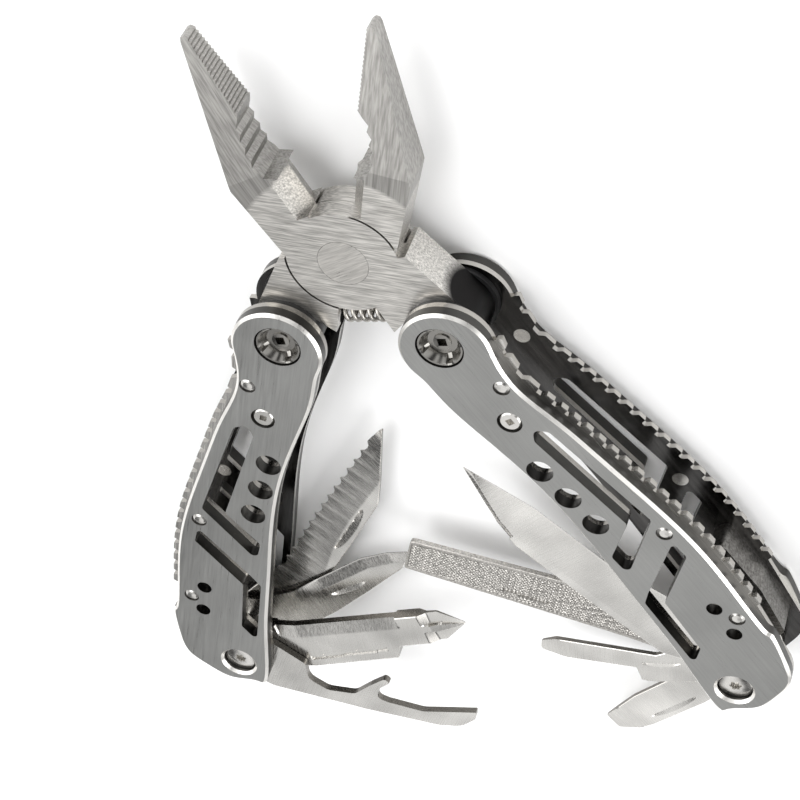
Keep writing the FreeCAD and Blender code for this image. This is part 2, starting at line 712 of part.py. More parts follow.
TOOL_SHAPES = {
    "bottle_opener": [(-2, 5.6, 1), (-1, -5.4, 1), (4.6, -4.6, 1), (12.2, -0.8, 1.2), (13.0, 3.4, 2.6),
                      (17.0, 5.1, 2.5), (22.4, 3.9, 2.5), (25.3, -0.1, 2.5), (27.9, -3.2, 0.8),
                      (28.9, -2.3, 0.2), (27.0, 0.2, 1.2), (26.9, 3.1, 1.2), (29.0, 3.5, 1.0),
                      (36.0, 3.2, 3.0), (46.1, -1.1, 0.2), (46.3, 0.9, 2.0), (43.7, 4.3, 4.0),
                      (39.5, 5.9, 4.0), (25.0, 7.5), (6.0, 8.6, 3.0)],
    "phillips_driver": [(-1, -5.6, 1), (12.0, -3.6, 2), (42.6, -4.6, 0.3), (47.4, -1.2, 0.4),
                        (42.0, 2.6, 0.3), (32.0, 3.1, 0.6), (30.6, 6.1, 0.4), (12.0, 7.2, 3), (2, 6.4, 2)],
    "can_opener": [(-1, -5.4, 1), (13.0, -2.6, 3), (32.0, -2.8, 5), (38.0, -1.5, 4), (42.6, 0.5, 0.4),
                   (38.2, 2.8, 1.5), (28.0, 4.3, 5), (17.0, 5.6, 3), (2, 6.3, 2)],
    "serrated_blade": [(-1, -5.8, 1), (16.4, -3.1)] + saw_edge()[::-1] + [
                       (60.0, -4.3), (64.0, -3.7, 0.2), (52.0, 1.8, 3), (46.0, 4.3, 4),
                       (23.0, 5.6, 6), (2, 6.3, 2)],
    "knife_blade": [(-1, -5.8, 1), (9.0, -4.6, 1.5), (15.5, -2.2, 1.2), (30.0, -0.2, 12), (47.0, -1.3, 12),
                    (61.6, 0.2, 0.1), (49.6, 6.8, 1.0), (44.0, 8.8, 3), (30.0, 9.7, 6),
                    (10.0, 10.4, 4), (2, 6.3, 1.0)],
    "double_cut_file": [(-1, -6.0, 1), (14.0, -5.4, 3), (37.0, -3.7), (62.2, -1.9, 0.8), (62.4, 5.8, 0.4),
                        (20.0, 5.4, 3), (2, 6.3, 2)],
    "slim_driver": [(-1, -5.0, 2), (8.0, -1.0, 2), (17.0, 2.2, 1), (35.2, -1.9, 1.5), (38.2, -1.4, 0.9),
                    (38.9, 0.9, 0.8), (34.2, 3.0, 1), (20.6, 5.7, 0.3), (20.3, 6.7, 0.5),
                    (21.6, 8.8, 0.4), (19.0, 9.3, 1), (6.0, 9.0, 2), (1, 6.0, 1)],
    "scraper_driver": [(-1, -5.6, 1), (10.0, -3.2, 2), (20.5, -0.9, 4), (30.0, -1.7, 4), (38.9, -1.2, 0.5),
                       (39.6, 2.6, 0.5), (36.0, 5.0, 1.5), (33.0, 5.8, 1.5), (20.0, 7.2, 5),
                       (6.0, 7.0, 2), (1, 6.0, 1)],
}
TOOL_PLACES = {
    "bottle_opener": (-1, LAYER_OPENER, "opener_thick", "opener_open"),
    "phillips_driver": (-1, LAYER_PHILLIPS, "phillips_thick", "phillips_open"),
    "can_opener": (-1, LAYER_CAN, "can_thick", "can_open"),
    "serrated_blade": (-1, LAYER_SAW, "saw_thick", "saw_open"),
    "knife_blade": (1, LAYER_KNIFE, "knife_thick", "knife_open"),
    "double_cut_file": (1, LAYER_FILE, "file_thick", "file_open"),
    "slim_driver": (1, LAYER_SLIM, "slim_thick", "slim_open"),
    "scraper_driver": (1, LAYER_SAW, "saw_thick", "scraper_open"),
}


def build_tool(label, side, layer, thick):
    """Flat tool: blade outline and round base with a hole for the bolt's barrel."""
    body = new_body(label)
    pad_disc(body, "Sizes.tool_base_radius", total(*layer), f"Sizes.{thick}")
    pad(body, contour(TOOL_SHAPES[label], side), total(*layer), f"Sizes.{thick}")
    cut_disc(body, "Sizes.bolt_barrel_radius + Sizes.running_clearance", total(*layer),
             f"Sizes.{thick}")
    return body


def washer_stack(label, gaps):
    """Thin washers in the named gaps of the channel, one solid each."""
    members = [ring(f"{label}_{i}", "Sizes.tool_washer_radius",
                    "Sizes.bolt_barrel_radius + Sizes.running_clearance",
                    total(*below) if below else "0", "Sizes.layer_gap")
               for i, below in enumerate(gaps, start=1)]
    return group(label, members)


# ---------------------------------------------------------------- assembly
HALF_OPEN = size("jaw_opening") / 2


def handle_pose(side):
    """Pivot place and direction, in degrees, of one handle at rest."""
    around = 270 + side * (size("tang_half_angle") + HALF_OPEN)
    reach = size("jaw_to_handle")
    spot = Vector(reach * math.cos(math.radians(around)), reach * math.sin(math.radians(around)), 0)
    direction = around - side * size("handle_splay")
    if side == 1:
        direction += size("right_fold")
    return spot, direction


def build_pliers():
    place(build_jaw("jaw_front", -1, True), Vector(0, 0, 0), HALF_OPEN)
    place(build_jaw("jaw_rear", 1, False), Vector(0, 0, 0), -HALF_OPEN)
    pin = doc.addObject("Part::Cylinder", "plier_pivot_pin")
    pin.setExpression("Radius", "Sizes.plier_pin_radius")
    pin.setExpression("Height", f"{JAW_THICK:.4f}")
    place(pin, Vector(0, 0, height(JAW_BOTTOM)), 0)
    spring = build_spring("return_spring")
    place(spring, Vector(0, 0, 0), 0)


def build_handle(name, side):
    spot, direction = handle_pose(side)
    for face in ("front", "rear"):
        place(build_plate(f"{name}_{face}_plate", side, face == "front"), spot, direction)
        place(build_liner(f"{name}_{face}_liner", side, face == "front"), spot, direction)
    washers = [ring(f"{name}_tang_washer_{face}", "Sizes.tang_washer_radius",
                    "Sizes.pivot_barrel_radius + Sizes.running_clearance", floor,
                    "Sizes.tang_washer_thick")
               for face, floor in (("rear", total(*CHANNEL)),
                                   ("front", f"{total(*CHANNEL_TOP)} - Sizes.tang_washer_thick"))]
    place(group(f"{name}_tang_washers", washers), spot, direction)
    place(build_pivot_screw(f"{name}_pivot_screw"), spot, direction)
    place(build_pivot_nut(f"{name}_pivot_nut"), spot, direction)
    place(build_rivets(f"{name}_rivets", side), spot, direction)
    place(build_stop_screws(f"{name}_stop_screws", side), spot, direction)
    place(build_back_spring(f"{name}_back_spring", side), spot, direction)
    bolt_spot = spot + Vector(LENGTH * math.cos(math.radians(direction)),
                              LENGTH * math.sin(math.radians(direction)), 0)
    place(build_tool_bolt(f"{name}_tool_bolt"), bolt_spot, direction)
    place(build_tool_nut(f"{name}_tool_nut"), bolt_spot, direction)
    build_bolt_stack(name, side, bolt_spot, direction)
    for label, (where, layer, thick, opening) in TOOL_PLACES.items():
        if where == side:
            turn = direction - side * 180 + side * size(opening)
            place(build_tool(label, side, layer, thick), bolt_spot, turn)


def build_bolt_stack(name, side, spot, direction):
    """Washers between neighbouring tools, and sleeves in the layers that hold none."""
    if side == 1:
        gaps = [CHANNEL, LAYER_SLIM + ["slim_thick"], LAYER_FILE + ["file_thick"]]
        sleeves = [(LAYER_SAW + ["saw_thick"], LAYER_SLIM),
                   (LAYER_KNIFE + ["knife_thick"], LAYER_OPENER)]
    else:
        gaps = [CHANNEL, LAYER_SAW + ["saw_thick"], LAYER_PHILLIPS + ["phillips_thick"],
                LAYER_OPENER + ["opener_thick"]]
        sleeves = [(LAYER_CAN + ["can_thick"], LAYER_PHILLIPS)]
    place(washer_stack(f"{name}_tool_washers", gaps), spot, direction)
    members = [ring(f"{name}_sleeve_{i}", "Sizes.spacer_radius",
                    "Sizes.bolt_barrel_radius + Sizes.running_clearance", total(*low),
                    f"{total(*high)} - ({total(*low)})")
               for i, (low, high) in enumerate(sleeves, start=1)]
    place(group(f"{name}_bolt_sleeves", members), spot, direction)


build_pliers()
build_handle("left", -1)
build_handle("right", 1)
doc.recompute()

# Set every sub-part in its place, then move all so that the origin is the middle
# of the box at floor height.
for obj, pose in NODES.values():
    obj.Placement = pose
doc.recompute()
boxes = [obj.Shape.BoundBox for obj, _ in NODES.values()]
middle = Vector((min(b.XMin for b in boxes) + max(b.XMax for b in boxes)) / 2,
                (min(b.YMin for b in boxes) + max(b.YMax for b in boxes)) / 2, 0)
for obj, pose in NODES.values():
    obj.Placement = Placement(pose.Base - middle, pose.Rotation)
doc.recompute()

for item in doc.Objects:
    if {"Invalid", "Error"} & set(item.State):
        raise RuntimeError(f"{item.Label} failed: {item.State}")
os.makedirs("parts", exist_ok=True)
for label, (obj, _) in NODES.items():
    if obj.Shape.isNull() or not obj.Shape.isValid() or not obj.Shape.Solids:
        raise RuntimeError(f"{label} has no valid shape")
for label, (obj, _) in NODES.items():
    obj.Shape.exportStep(f"parts/{label}.step")
print(f"{len(NODES)} nodes, {sum(len(o.Shape.Solids) for o, _ in NODES.values())} solids")
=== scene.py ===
"""Folding multi tool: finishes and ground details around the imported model, in metres.

Directions: +Y runs towards the pliers' noses, +Z up through the handles.
A tool's own frame has its bolt at (0, 0), its tip along +x and its opening side along +y.
"""

import json
import math

import bmesh
import bpy
import numpy as np
from mathutils import Matrix, Vector


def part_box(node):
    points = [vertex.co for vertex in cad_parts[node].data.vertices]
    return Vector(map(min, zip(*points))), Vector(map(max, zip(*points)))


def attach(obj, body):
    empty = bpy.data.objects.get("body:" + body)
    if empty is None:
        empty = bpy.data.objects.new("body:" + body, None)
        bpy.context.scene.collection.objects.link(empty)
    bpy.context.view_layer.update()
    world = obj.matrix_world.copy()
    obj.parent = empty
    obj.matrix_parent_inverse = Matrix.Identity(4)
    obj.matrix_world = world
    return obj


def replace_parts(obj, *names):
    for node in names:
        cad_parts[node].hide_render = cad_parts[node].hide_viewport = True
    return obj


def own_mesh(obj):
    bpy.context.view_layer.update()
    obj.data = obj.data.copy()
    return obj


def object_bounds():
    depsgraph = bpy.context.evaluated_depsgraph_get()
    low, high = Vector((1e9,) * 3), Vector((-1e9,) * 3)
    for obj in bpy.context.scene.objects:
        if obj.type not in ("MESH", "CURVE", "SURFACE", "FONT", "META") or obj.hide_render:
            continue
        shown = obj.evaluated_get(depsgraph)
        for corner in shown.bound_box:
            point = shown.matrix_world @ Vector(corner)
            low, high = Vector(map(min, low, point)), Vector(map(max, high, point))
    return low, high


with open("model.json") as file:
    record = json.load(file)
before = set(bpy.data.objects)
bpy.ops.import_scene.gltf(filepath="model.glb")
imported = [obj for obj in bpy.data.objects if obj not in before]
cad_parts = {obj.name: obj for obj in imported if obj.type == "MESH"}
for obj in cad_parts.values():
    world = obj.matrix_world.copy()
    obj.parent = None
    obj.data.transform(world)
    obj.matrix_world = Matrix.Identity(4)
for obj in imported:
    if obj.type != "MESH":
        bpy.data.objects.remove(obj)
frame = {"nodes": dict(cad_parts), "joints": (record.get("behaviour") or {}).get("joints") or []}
CAD_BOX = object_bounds()
NODES = frame["nodes"]
MM = 0.001
TURN = 2 * math.pi
EDGE_BREAK = 0.09       # mm that a ground tool's rim is lowered
EDGE_BREAK_WIDE = 0.12  # mm over which the rim is lowered
THINNEST = 0.04         # share of the half thickness left at a cutting edge
END_INSET = 0.01        # mm that the first and last stations lie inside the outline
CROWDING = 0.08         # how much closer a grid's columns lie at the two edges
FILE_PITCH = 0.75       # mm between a file's teeth


# ---------------------------------------------------------------- places from the frame
def middle(node):
    """Centre of a node's box."""
    low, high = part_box(node)
    return (np.array(low) + np.array(high)) / 2


def heading(side):
    """Direction of a handle in the plan, from its pivot to its tool bolt, in radians."""
    run = middle(f"{side}_tool_bolt") - middle(f"{side}_pivot_screw")
    return math.atan2(run[1], run[0])


JOINT = {j["name"]: j for j in frame["joints"]}
LEFT, RIGHT = heading("left"), heading("right")
PIN = middle("plier_pivot_pin")
TOP = CAD_BOX[1][2]


class ToolFrame:
    """A tool's own frame in millimetres; side -1 mirrors the left handle's tools."""

    def __init__(self, side, joint):
        self.sign = 1 if side == "right" else -1
        self.bolt = middle(f"{side}_tool_bolt")[:2]
        out = heading(side) - self.sign * math.pi
        self.turn = out - self.sign * math.radians(JOINT[joint]["range_deg"][0])

    def to_row(self, x, y):
        c, s = math.cos(self.turn), math.sin(self.turn)
        y = self.sign * y
        return (self.bolt[0] + (x * c - y * s) * MM, self.bolt[1] + (x * s + y * c) * MM)

    def from_row(self, points):
        c, s = math.cos(self.turn), math.sin(self.turn)
        dx, dy = (points[:, 0] - self.bolt[0]) / MM, (points[:, 1] - self.bolt[1]) / MM
        return np.stack([dx * c + dy * s, self.sign * (dy * c - dx * s)], axis=1)


TOOL_FRAMES = {
    "bottle_opener": ToolFrame("left", "bottle_opener_swing"),
    "phillips_driver": ToolFrame("left", "phillips_swing"),
    "can_opener": ToolFrame("left", "can_opener_swing"),
    "serrated_blade": ToolFrame("left", "serrated_blade_swing"),
    "knife_blade": ToolFrame("right", "knife_swing"),
    "double_cut_file": ToolFrame("right", "file_swing"),
    "slim_driver": ToolFrame("right", "slim_driver_swing"),
    "scraper_driver": ToolFrame("right", "scraper_swing"),
}


# ---------------------------------------------------------------- materials
def srgb(code):
    """Linear RGBA of a hex sRGB colour."""
    values = [int(code[i:i + 2], 16) / 255 for i in (1, 3, 5)]
    return [v / 12.92 if v <= 0.04045 else ((v + 0.055) / 1.055) ** 2.4 for v in values] + [1.0]


def add(tree, kind, settings=None, **links):
    """A new node with its settings; a link is a socket, or a plain value for that input."""
    node = tree.nodes.new(kind)
    for name, value in (settings or {}).items():
        setattr(node, name, value)
    for name, value in links.items():
        socket = node.inputs[int(name[1:])] if name[0] == "i" and name[1:].isdigit() else \
            node.inputs[name.replace("_", " ")]
        if isinstance(value, bpy.types.NodeSocket):
            tree.links.new(value, socket)
        else:
            socket.default_value = value
    return node


def ramp(tree, source, stops):
    """Colour ramp through (place, RGBA) stops."""
    node = add(tree, "ShaderNodeValToRGB", Fac=source)
    points = node.color_ramp.elements
    points[0].position, points[0].color = stops[0]
    points[1].position, points[1].color = stops[-1]
    for place, colour in stops[1:-1]:
        points.new(place).color = colour
    return node.outputs["Color"]


def grey(value):
    return (value, value, value, 1.0)


def metal_base(name, roughness):
    """Empty metallic material: its tree, its shader and its Object coordinates."""
    material = bpy.data.materials.new(name)
    material.use_nodes = True
    tree = material.node_tree
    shader = tree.nodes["Principled BSDF"]
    shader.inputs["Metallic"].default_value = 1.0
    shader.inputs["Roughness"].default_value = roughness
    coords = tree.nodes.new("ShaderNodeTexCoord").outputs["Object"]
    return material, tree, shader, coords


def facing_up(tree):
    """How level a surface lies: the size of its normal's height, 0 on a wall and 1 on a flat."""
    normal = tree.nodes.new("ShaderNodeNewGeometry").outputs["Normal"]
    tall = add(tree, "ShaderNodeSeparateXYZ", Vector=normal).outputs["Z"]
    return add(tree, "ShaderNodeMath", {"operation": "ABSOLUTE"}, i0=tall).outputs[0]


def edge_light_and_shade(tree, flat, wall, rim):
    """Colour by how level the surface lies: its own on a flat, rim as a painted highlight on a bevel,
    wall as painted light and shade on an edge.
    """
    level = facing_up(tree)
    # painted highlight on bevels and painted light and shade on walls, chosen by the normal's height
    edges = ramp(tree, level, [(0.0, wall), (0.25, wall), (0.45, rim), (0.9, rim)])
    is_flat = add(tree, "ShaderNodeMapRange", Value=level, i1=0.93, i2=0.985).outputs[0]
    return add(tree, "ShaderNodeMix", {"data_type": "RGBA"}, Factor=is_flat, i6=edges, i7=flat).outputs[2]


def brushed_steel(name, colour, lay, roughness=0.34, across=0.32, along=9.0, depth=0.12, shade=0.16,
                  wall=None, rim=None, cloud=0.86):
    """Stainless sheet finished on a belt: fine scratches along one direction that stretch
    highlights across it. The real scratches are about 0.05 mm apart, drawn coarser to show."""
    material, tree, shader, coords = metal_base(name, roughness)
    turned = add(tree, "ShaderNodeMapping", Vector=coords, Rotation=(0, 0, -lay)).outputs[0]
    stretched = add(tree, "ShaderNodeMapping", Vector=turned,
                    Scale=(1 / (along * MM), 1 / (across * MM), 1 / (across * MM))).outputs[0]
    lines = add(tree, "ShaderNodeTexNoise", Vector=stretched, Scale=1.0, Detail=3.0,
                Roughness=0.65).outputs[0]
    clouds = add(tree, "ShaderNodeTexNoise", Vector=coords, Scale=1 / (14 * MM), Detail=2.0).outputs[0]
    base = np.array(srgb(colour))
    dark, light = base * (1 - 1.6 * shade), base * (1 + shade)
    dark[3] = light[3] = 1.0
    streaks = ramp(tree, lines, [(0.32, tuple(dark)), (0.68, tuple(np.minimum(light, 1)))])
    soft = ramp(tree, clouds, [(0.3, grey(cloud)), (0.7, grey(1.0))])
    mixed = add(tree, "ShaderNodeMix", {"data_type": "RGBA", "blend_type": "MULTIPLY"}, Factor=1.0,
                i6=streaks, i7=soft).outputs[2]
    # given wall and rim colours, bevels take a painted highlight and edge walls a painted wall colour of
    # light and shade
    if rim:
        mixed = edge_light_and_shade(tree, mixed, tuple(srgb(wall)), tuple(srgb(rim)))
    tree.links.new(mixed, shader.inputs["Base Color"])
    rough = add(tree, "ShaderNodeMapRange", Value=lines, i1=0.3, i2=0.7, i3=roughness - 0.07,
                i4=roughness + 0.09).outputs[0]
    tree.links.new(rough, shader.inputs["Roughness"])
    bump = add(tree, "ShaderNodeBump", Strength=depth, Distance=0.04 * MM, Height=lines).outputs[0]
    tree.links.new(bump, shader.inputs["Normal"])
    return material


def tumbled_steel(name, colour, dark, grain=0.5, roughness=0.36):
    """Forged and tumbled steel: a grain of tiny flats that mottles the reflection."""
    material, tree, shader, coords = metal_base(name, roughness)
    flats = add(tree, "ShaderNodeTexNoise", Vector=coords, Scale=1 / (grain * MM), Detail=4.0,
                Roughness=0.7).outputs[0]
    tree.links.new(ramp(tree, flats, [(0.35, tuple(srgb(dark))), (0.65, tuple(srgb(colour)))]),
                   shader.inputs["Base Color"])
    bump = add(tree, "ShaderNodeBump", Strength=0.2, Distance=0.05 * MM, Height=flats).outputs[0]
    tree.links.new(bump, shader.inputs["Normal"])
    return material


def polished_steel(name, colour, roughness=0.16):
    """Turned and polished screw steel: near-mirror with faint swirl and handling haze."""
    material, tree, shader, coords = metal_base(name, roughness)
    haze = add(tree, "ShaderNodeTexNoise", Vector=coords, Scale=1 / (1.6 * MM), Detail=5.0).outputs[0]
    base = srgb(colour)
    tree.links.new(ramp(tree, haze, [(0.3, tuple(v * 0.8 for v in base[:3]) + (1.0,)),
                                     (0.7, tuple(base))]), shader.inputs["Base Color"])
    rough = add(tree, "ShaderNodeMapRange", Value=haze, i1=0.3, i2=0.7, i3=roughness,
                i4=roughness + 0.12).outputs[0]
    tree.links.new(rough, shader.inputs["Roughness"])
    return material


def jaw_steel(name, nose_lay):
    """Forged jaws: a linished disc round the pin, darker noses ground lengthwise beyond it,
    and near-black painted shade on the walls of the round bosses that turn inside the handles."""
    material, tree, shader, coords = metal_base(name, 0.33)
    grain = []
    for lay, along, across in ((math.radians(-12), 4.0, 0.24), (nose_lay, 12.0, 0.34)):
        turned = add(tree, "ShaderNodeMapping", Vector=coords, Rotation=(0, 0, -lay)).outputs[0]
        fine = add(tree, "ShaderNodeMapping", Vector=turned,
                   Scale=(1 / (along * MM), 1 / (across * MM), 1 / (across * MM))).outputs[0]
        grain.append(add(tree, "ShaderNodeTexNoise", Vector=fine, Scale=1.0, Detail=3.0).outputs[0])
    disc = ramp(tree, grain[0], [(0.3, tuple(srgb("#9c9a96"))), (0.7, tuple(srgb("#e4e1dc")))])
    nose = ramp(tree, grain[1], [(0.3, tuple(srgb("#878582"))), (0.7, tuple(srgb("#b2b0ac")))])
    split = add(tree, "ShaderNodeVectorMath", {"operation": "DISTANCE"}, i0=coords,
                i1=(PIN[0], PIN[1], PIN[2])).outputs["Value"]
    height = add(tree, "ShaderNodeSeparateXYZ", Vector=coords).outputs["Y"]
    beyond = add(tree, "ShaderNodeMapRange", Value=split, i1=17.2 * MM, i2=17.9 * MM).outputs[0]
    ahead = add(tree, "ShaderNodeMath", {"operation": "GREATER_THAN"}, i0=height, i1=PIN[1]).outputs[0]
    is_nose = add(tree, "ShaderNodeMath", {"operation": "MULTIPLY"}, i0=beyond, i1=ahead).outputs[0]
    mixed = add(tree, "ShaderNodeMix", {"data_type": "RGBA"}, Factor=is_nose, i6=disc,
                i7=nose).outputs[2]
    # Painted shade: steep walls within 8 to 9.5 mm of the pivot screws, the round bosses inside the
    # handles, are coloured near-black (#1d1c1c).
    near = None
    for side in ("left", "right"):
        boss = middle(f"{side}_pivot_screw")
        away = add(tree, "ShaderNodeVectorMath", {"operation": "DISTANCE"}, i0=coords,
                   i1=(boss[0], boss[1], PIN[2])).outputs["Value"]
        inside = add(tree, "ShaderNodeMapRange", Value=away, i1=9.5 * MM, i2=8.0 * MM).outputs[0]
        near = inside if near is None else add(tree, "ShaderNodeMath", {"operation": "MAXIMUM"},
                                               i0=near, i1=inside).outputs[0]
    wall = add(tree, "ShaderNodeMapRange", Value=facing_up(tree), i1=0.5, i2=0.2).outputs[0]
    # black is the share of that painted shade, not a black finish
    black = add(tree, "ShaderNodeMath", {"operation": "MULTIPLY"}, i0=near, i1=wall).outputs[0]
    mixed = add(tree, "ShaderNodeMix", {"data_type": "RGBA"}, Factor=black, i6=mixed,
                i7=tuple(srgb("#1d1c1c"))).outputs[2]
    tree.links.new(mixed, shader.inputs["Base Color"])
    bump = add(tree, "ShaderNodeBump", Strength=0.1, Distance=0.04 * MM, Height=grain[0]).outputs[0]
    tree.links.new(bump, shader.inputs["Normal"])
    return material


def black_nylon(name):
    """Moulded glass-filled nylon washers: matt, with a faint grain."""
    material, tree, shader, coords = metal_base(name, 0.45)
    shader.inputs["Metallic"].default_value = 0.0
    shader.inputs["IOR"].default_value = 1.52
    grain = add(tree, "ShaderNodeTexNoise", Vector=coords, Scale=1 / (0.3 * MM), Detail=3.0).outputs[0]
    tree.links.new(ramp(tree, grain, [(0.3, tuple(srgb("#0b0b0c"))), (0.7, tuple(srgb("#1b1b1c")))]),
                   shader.inputs["Base Color"])
    return material


# Plates: rim is a painted highlight on the bevels, wall a painted shade on the edge walls.
PLATE = {side: brushed_steel(f"belt_finished_plate_{side}", "#a3a3a1", lay, shade=0.07,
                             wall="#4a4947", rim="#e3e1dd")
         for side, lay in (("left", LEFT), ("right", RIGHT))}
# Liners: rim is a painted highlight on the tooth tops and bevels, wall a painted shade on the sides.
LINER = {side: brushed_steel(f"satin_liner_{side}", "#cfcdc9", lay, roughness=0.2, shade=0.1,
                             wall="#a5a29d", rim="#e8e6e2")
         for side, lay in (("left", LEFT), ("right", RIGHT))}
# Rear liners: the liners' satin steel painted dark with coarse strong streaks, as painted shade and
# painted reflection of the handle's dark inside; wall and rim are painted highlights on their edges.
SHADED_REAR_LINER = {side: brushed_steel(f"painted_shade_liner_{side}", "#4b4a49", lay, roughness=0.18,
                                    across=1.2, along=16.0, shade=0.35, wall="#c2bfba", rim="#e8e6e2")
                for side, lay in (("left", LEFT), ("right", RIGHT))}
HALF_OPEN = -math.radians(JOINT["jaws"]["range_deg"][0]) / 2
JAW = {"jaw_front": jaw_steel("forged_jaw_left", math.pi / 2 + HALF_OPEN),
       "jaw_rear": jaw_steel("forged_jaw_right", math.pi / 2 - HALF_OPEN)}
SCREW = polished_steel("polished_screw_steel", "#d4d2ce")
# Pivot dishes: the polished screw steel in a darker copy (#8f8d89), painted shade for the recessed dish.
SHADED_DISH = polished_steel("dish_steel_painted_shade", "#8f8d89", 0.16)
PIN_STEEL = brushed_steel("linished_pin", "#cfccc7", math.radians(20), across=0.24, along=4.0)
SPRING = polished_steel("drawn_spring_wire", "#b9b6b0", 0.22)
NYLON = black_nylon("black_nylon")
BAR = tumbled_steel("stamped_spring_bar", "#8d8b88", "#55534f")
# Blades: rim is a painted highlight on the steep bevels, wall a painted shade on the edge walls.
BLADE = {tool: brushed_steel(f"satin_{tool}", "#e2e0dc", at.turn + math.radians(78), roughness=0.24,
                             across=0.22, along=5.0, depth=0.08, shade=0.1, cloud=0.55,
                             wall="#77746f", rim="#e9e6e1")
         for tool, at in TOOL_FRAMES.items()}
FILE = tumbled_steel("cut_file_steel", "#cbc8c3", "#8a8783", grain=0.35, roughness=0.3)


def dress_nodes():
    """Give each carried-over node its finish."""
    for name, node in NODES.items():
        side = name.split("_")[0]
        if name.endswith("_plate"):
            material = PLATE[side]
        # the rear liners take the copy painted dark as painted shade
        elif name.endswith("rear_liner"):
            material = SHADED_REAR_LINER[side]
        elif name.endswith("_liner"):
            material = LINER[side]
        elif name.startswith("jaw_"):
            material = JAW[name]
        elif name == "plier_pivot_pin":
            material = PIN_STEEL
        elif name in TOOL_FRAMES:
            material = BLADE[name]
        elif name.endswith("washers"):
            material = NYLON
        elif name.endswith("back_spring"):
            material = BAR
        else:
            material = SCREW
        node.data.materials.clear()
        node.data.materials.append(material)


# ---------------------------------------------------------------- surfaces
def mesh_piece(name, points, faces, material, body, creases=40):
    """A closed mesh as a piece that rides on a body; points in metres. Edges that turn by
    more than creases degrees are shaded sharp."""
    mesh = bpy.data.meshes.new(name)
    mesh.from_pydata(np.asarray(points, float).tolist(), [], np.asarray(faces).tolist())
    mesh.validate()
    piece = bpy.data.objects.new(name, mesh)
    bpy.context.scene.collection.objects.link(piece)
    work = bmesh.new()
    work.from_mesh(mesh)
    bmesh.ops.remove_doubles(work, verts=work.verts, dist=1e-7)
    bmesh.ops.dissolve_degenerate(work, dist=1e-7, edges=work.edges)
    bmesh.ops.recalc_face_normals(work, faces=work.faces)
    for edge in work.edges:
        sharp = len(edge.link_faces) == 2 and edge.calc_face_angle(0.0) > math.radians(creases)
        edge.smooth = not sharp
    for face in work.faces:
        face.smooth = True
    work.to_mesh(mesh)
    work.free()
    mesh.materials.append(material)
    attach(piece, body)
    return piece


def grid_faces(rows, columns, wrap=False):
    """Quads of a rows by columns grid; wrap joins the last column to the first."""
    i, j = np.meshgrid(np.arange(rows - 1), np.arange(columns if wrap else columns - 1), indexing="ij")
    after = (j + 1) % columns
    quads = np.stack([i * columns + j, (i + 1) * columns + j,
                      (i + 1) * columns + after, i * columns + after], axis=-1)
    return quads.reshape(-1, 4)


def outline_of(tool):
    """Edges of a tool's flat top in its own frame: pairs of (x, y), in millimetres."""
    mesh = NODES[tool].data
    points = np.empty(len(mesh.vertices) * 3)
    mesh.vertices.foreach_get("co", points)
    points = points.reshape(-1, 3)
    mesh.calc_loop_triangles()
    corners = np.empty(len(mesh.loop_triangles) * 3, int)
    mesh.loop_triangles.foreach_get("vertices", corners)
    corners = corners.reshape(-1, 3)
    top = points[:, 2].max()
    corners = corners[(points[corners][:, :, 2] > top - 1e-6).all(axis=1)]
    _, same = np.unique(np.round(points * 1e6).astype(int), axis=0, return_inverse=True)
    same = same.reshape(-1)
    sides = np.sort(np.concatenate([same[corners[:, [0, 1]]], same[corners[:, [1, 2]]],
                                    same[corners[:, [2, 0]]]]), axis=1)
    kept, count = np.unique(sides, axis=0, return_counts=True)
    kept = kept[count == 1]
    where = np.zeros((same.max() + 1, 3))
    where[same] = points
    plan = TOOL_FRAMES[tool].from_row(where)
    return plan[kept]


def widths(edges, x):
    """Lowest and highest y of an outline at each station x."""
    (x0, y0), (x1, y1) = edges[:, 0].T, edges[:, 1].T
    span = np.where(np.abs(x1 - x0) < 1e-9, 1e-9, x1 - x0)
    share = (x[:, None] - x0) / span
    inside = (share >= 0) & (share <= 1)
    y = y0 + share * (y1 - y0)
    return (np.where(inside, y, np.inf).min(axis=1), np.where(inside, y, -np.inf).max(axis=1))


